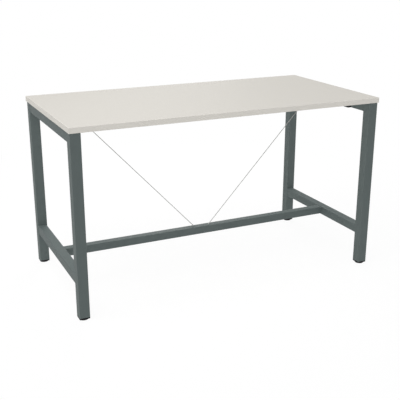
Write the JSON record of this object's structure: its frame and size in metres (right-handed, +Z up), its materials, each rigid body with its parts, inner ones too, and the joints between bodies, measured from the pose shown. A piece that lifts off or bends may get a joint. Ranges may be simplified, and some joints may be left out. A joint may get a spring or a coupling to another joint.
{
  "type": "standing meeting table",
  "caption": "Standing-height rectangular meeting table: pale banded board on square-tube end frames with a low stretcher, V-shaped tension wires and screw-adjusted levelling feet.",
  "frame": {"origin": "on the floor, under the middle of the top", "axes": "+X along the long side of the top, to the right as the picture shows it; +Y across the top, away from the front; +Z up"},
  "size_m": [1.8, 0.9, 1.013],
  "materials": {
    "laminate_board": "matt pale melamine-faced board",
    "edge_band": "matt plastic edging, same shade as the board",
    "powder_coat": "fine-textured grey powder coat",
    "black_bracket": "black paint on pressed steel",
    "black_plastic": "black moulded nylon",
    "grey_plastic": "grey moulded plastic",
    "zinc_steel": "bright zinc plating",
    "wire_rope": "twisted stainless wire"
  },
  "bodies": {
    "table": {"tabletop_board": "laminate_board", "edge_band_front": "edge_band", "edge_band_back": "edge_band", "edge_band_left": "edge_band", "edge_band_right": "edge_band", "leg_front_left": "powder_coat", "leg_front_right": "powder_coat", "leg_back_left": "powder_coat", "leg_back_right": "powder_coat", "top_rail_left": "powder_coat", "top_rail_right": "powder_coat", "low_rail_left": "powder_coat", "low_rail_right": "powder_coat", "stretcher": "powder_coat", "stretcher_plate_left": "zinc_steel", "stretcher_plate_right": "zinc_steel", "stretcher_bolt_left_front": "zinc_steel", "stretcher_bolt_left_back": "zinc_steel", "stretcher_bolt_right_front": "zinc_steel", "stretcher_bolt_right_back": "zinc_steel", "access_plug_left": "grey_plastic", "access_plug_right": "grey_plastic", "foot_plug_front_left": "black_plastic", "foot_plug_front_right": "black_plastic", "foot_plug_back_left": "black_plastic", "foot_plug_back_right": "black_plastic", "wire_left": "wire_rope", "wire_right": "wire_rope", "wire_stop_left": "wire_rope", "wire_stop_right": "wire_rope", "wire_terminal_left": "wire_rope", "wire_terminal_right": "wire_rope", "wire_nut_left": "zinc_steel", "wire_nut_right": "zinc_steel", "wire_anchor_left": "zinc_steel", "wire_anchor_right": "zinc_steel", "anchor_screw_left_front": "zinc_steel", "anchor_screw_left_back": "zinc_steel", "anchor_screw_right_front": "zinc_steel", "anchor_screw_right_back": "zinc_steel", "top_bracket_front_left": "black_bracket", "top_bracket_front_right": "black_bracket", "top_bracket_back_left": "black_bracket", "top_bracket_back_right": "black_bracket", "bracket_screw_front_left": "zinc_steel", "bracket_screw_front_right": "zinc_steel", "bracket_screw_back_left": "zinc_steel", "bracket_screw_back_right": "zinc_steel", "bracket_bolt_front_left": "zinc_steel", "bracket_bolt_front_right": "zinc_steel", "bracket_bolt_back_left": "zinc_steel", "bracket_bolt_back_right": "zinc_steel"},
    "pad_front_left": {"foot_pad_front_left": "black_plastic"},
    "pad_front_right": {"foot_pad_front_right": "black_plastic"},
    "pad_back_left": {"foot_pad_back_left": "black_plastic"},
    "pad_back_right": {"foot_pad_back_right": "black_plastic"},
    "stud_front_left": {"foot_stud_front_left": "zinc_steel"},
    "stud_front_right": {"foot_stud_front_right": "zinc_steel"},
    "stud_back_left": {"foot_stud_back_left": "zinc_steel"},
    "stud_back_right": {"foot_stud_back_right": "zinc_steel"}
  },
  "joints": [
    {"name": "travel_front_left", "type": "slide", "parent": "table", "child": "pad_front_left", "axis": [0, 0, -1], "range_m": [0, 0.012]},
    {"name": "travel_front_right", "type": "slide", "parent": "table", "child": "pad_front_right", "axis": [0, 0, -1], "range_m": [0, 0.012]},
    {"name": "travel_back_left", "type": "slide", "parent": "table", "child": "pad_back_left", "axis": [0, 0, -1], "range_m": [0, 0.012]},
    {"name": "travel_back_right", "type": "slide", "parent": "table", "child": "pad_back_right", "axis": [0, 0, -1], "range_m": [0, 0.012]},
    {"name": "turn_front_left", "type": "hinge", "parent": "pad_front_left", "child": "stud_front_left", "pos_m": [-0.8675, -0.4175, 0], "axis": [0, 0, -1], "range_deg": [0, 3456]},
    {"name": "turn_front_right", "type": "hinge", "parent": "pad_front_right", "child": "stud_front_right", "pos_m": [0.8675, -0.4175, 0], "axis": [0, 0, -1], "range_deg": [0, 3456]},
    {"name": "turn_back_left", "type": "hinge", "parent": "pad_back_left", "child": "stud_back_left", "pos_m": [-0.8675, 0.4175, 0], "axis": [0, 0, -1], "range_deg": [0, 3456]},
    {"name": "turn_back_right", "type": "hinge", "parent": "pad_back_right", "child": "stud_back_right", "pos_m": [0.8675, 0.4175, 0], "axis": [0, 0, -1], "range_deg": [0, 3456]}
  ],
  "couplings": [
    {"joint": "turn_front_left", "follows": "travel_front_left", "rad_per_m": 5026.5},
    {"joint": "turn_front_right", "follows": "travel_front_right", "rad_per_m": 5026.5},
    {"joint": "turn_back_left", "follows": "travel_back_left", "rad_per_m": 5026.5},
    {"joint": "turn_back_right", "follows": "travel_back_right", "rad_per_m": 5026.5}
  ]
}
